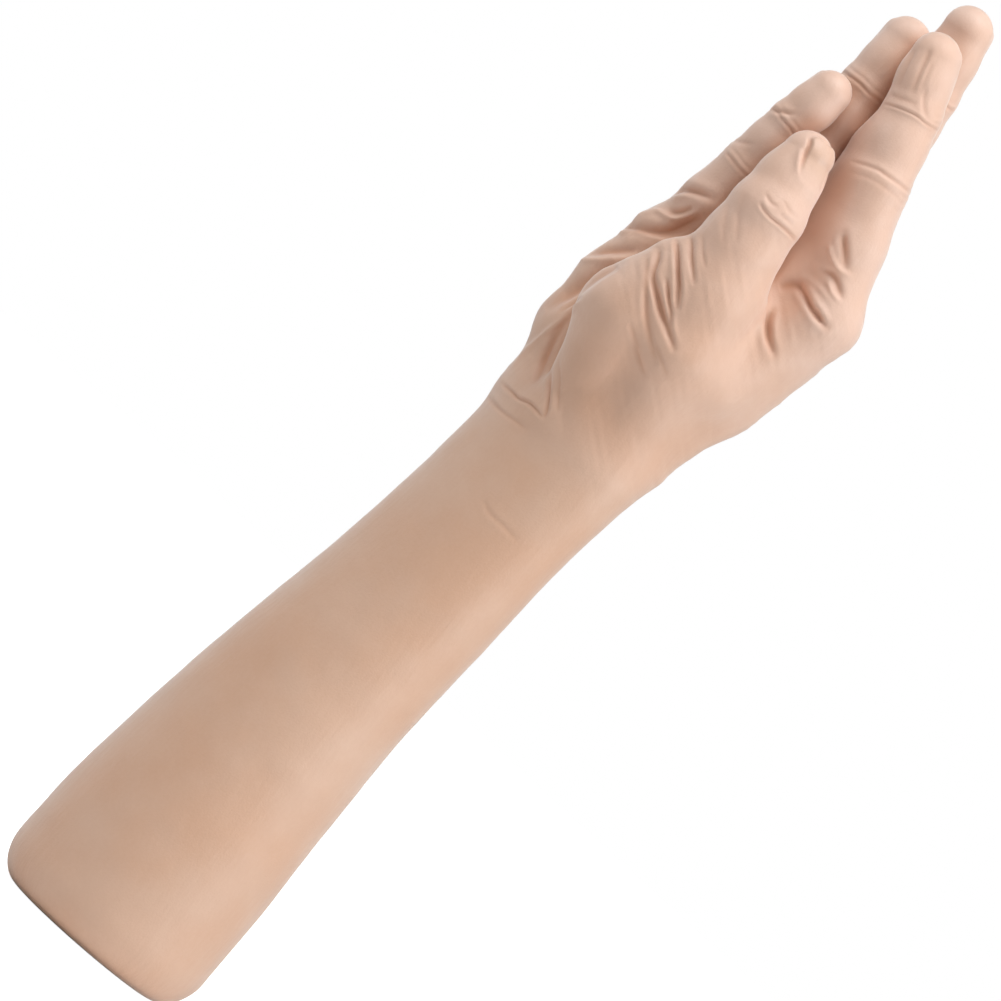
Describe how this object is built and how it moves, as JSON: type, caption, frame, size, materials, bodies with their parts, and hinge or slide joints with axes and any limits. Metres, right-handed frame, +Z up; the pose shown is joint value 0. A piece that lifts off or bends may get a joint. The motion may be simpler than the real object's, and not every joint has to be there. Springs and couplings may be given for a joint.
{
  "type": "passive prosthetic hand and forearm",
  "caption": "Right hand and forearm in a soft skin-coloured glove with bunched, reaching fingers; passive joints hold where they are set, and an open socket takes the forearm.",
  "frame": {"origin": "centre of the foot of the forearm, on the floor that it stands on", "axes": "+Z up along the forearm toward the fingers, the palm faces -Y, the thumb side is +X"},
  "size_m": [0.0919, 0.0758, 0.4056],
  "materials": {
    "glove_pvc": "soft skin-coloured PVC with moulded creases, low sheen",
    "foam": "flexible polyurethane foam",
    "laminate": "acrylic laminate, skin pigmented",
    "liner_plastic": "smooth flexible polyethylene",
    "aluminium": "turned aluminium",
    "steel": "ground steel",
    "nylon": "natural nylon"
  },
  "bodies": {
    "forearm": {"forearm_glove": "glove_pvc", "forearm_shell": "laminate", "socket_liner": "liner_plastic", "wrist_collar": "aluminium", "friction_bush": "nylon", "retaining_ring": "aluminium", "friction_washer": "nylon"},
    "hand": {"wrist_stud": "steel", "stud_nut": "steel", "palm_frame": "aluminium", "frame_screws": "steel", "palm_foam": "foam", "palm_glove": "glove_pvc", "thumb_knuckle_pin": "steel", "index_knuckle_pin": "steel", "middle_knuckle_pin": "steel", "ring_knuckle_pin": "steel", "little_knuckle_pin": "steel"},
    "thumb_base": {"thumb_link_base": "aluminium", "thumb_middle_pin": "steel", "thumb_foam_base": "foam", "thumb_glove_base": "glove_pvc"},
    "thumb_tip": {"thumb_link_tip": "aluminium", "thumb_foam_tip": "foam", "thumb_glove_tip": "glove_pvc"},
    "index_base": {"index_link_base": "aluminium", "index_middle_pin": "steel", "index_foam_base": "foam", "index_glove_base": "glove_pvc"},
    "index_tip": {"index_link_tip": "aluminium", "index_foam_tip": "foam", "index_glove_tip": "glove_pvc"},
    "middle_base": {"middle_link_base": "aluminium", "middle_middle_pin": "steel", "middle_foam_base": "foam", "middle_glove_base": "glove_pvc"},
    "middle_tip": {"middle_link_tip": "aluminium", "middle_foam_tip": "foam", "middle_glove_tip": "glove_pvc"},
    "ring_base": {"ring_link_base": "aluminium", "ring_middle_pin": "steel", "ring_foam_base": "foam", "ring_glove_base": "glove_pvc"},
    "ring_tip": {"ring_link_tip": "aluminium", "ring_foam_tip": "foam", "ring_glove_tip": "glove_pvc"},
    "little_base": {"little_link_base": "aluminium", "little_middle_pin": "steel", "little_foam_base": "foam", "little_glove_base": "glove_pvc"},
    "little_tip": {"little_link_tip": "aluminium", "little_foam_tip": "foam", "little_glove_tip": "glove_pvc"}
  },
  "joints": [
    {"name": "wrist_rotation", "type": "hinge", "parent": "forearm", "child": "hand", "pos_m": [0.009, 0.008, 0.212], "axis": [0, 0, 1], "range_deg": [-45, 45]},
    {"name": "thumb_knuckle", "type": "hinge", "parent": "hand", "child": "thumb_base", "pos_m": [0.027, -0.008, 0.28], "axis": [0.3395, 0.9328, 0.1206], "range_deg": [0, 25]},
    {"name": "index_knuckle", "type": "hinge", "parent": "hand", "child": "index_base", "pos_m": [0.0425, 0.0245, 0.299], "axis": [-0.706, 0.706, 0.0558], "range_deg": [0, 25]},
    {"name": "middle_knuckle", "type": "hinge", "parent": "hand", "child": "middle_base", "pos_m": [0.019, 0.028, 0.304], "axis": [-0.9924, -0.0868, -0.0872], "range_deg": [0, 25]},
    {"name": "ring_knuckle", "type": "hinge", "parent": "hand", "child": "ring_base", "pos_m": [0.002, 0.0153, 0.297], "axis": [-0.34, -0.9342, -0.1083], "range_deg": [0, 25]},
    {"name": "little_knuckle", "type": "hinge", "parent": "hand", "child": "little_base", "pos_m": [-0.0078, -0.002, 0.284], "axis": [0, -0.9889, -0.1483], "range_deg": [0, 25]},
    {"name": "thumb_middle", "type": "hinge", "parent": "thumb_base", "child": "thumb_tip", "pos_m": [0.028, -0.0125, 0.312], "axis": [0.3414, 0.9379, 0.0622], "range_deg": [0, 25]},
    {"name": "index_middle", "type": "hinge", "parent": "index_base", "child": "index_tip", "pos_m": [0.0327, 0.0113, 0.342], "axis": [-0.7069, 0.7069, -0.0236], "range_deg": [0, 25]},
    {"name": "middle_middle", "type": "hinge", "parent": "middle_base", "child": "middle_tip", "pos_m": [0.015, 0.0275, 0.35], "axis": [-0.9939, -0.087, -0.0674], "range_deg": [0, 25]},
    {"name": "ring_middle", "type": "hinge", "parent": "ring_base", "child": "ring_tip", "pos_m": [0.0068, 0.0088, 0.338], "axis": [-0.3416, -0.9384, -0.0519], "range_deg": [0, 25]},
    {"name": "little_middle", "type": "hinge", "parent": "little_base", "child": "little_tip", "pos_m": [0.003, -0.0074, 0.32], "axis": [0, -0.9893, -0.1458], "range_deg": [0, 25]}
  ]
}
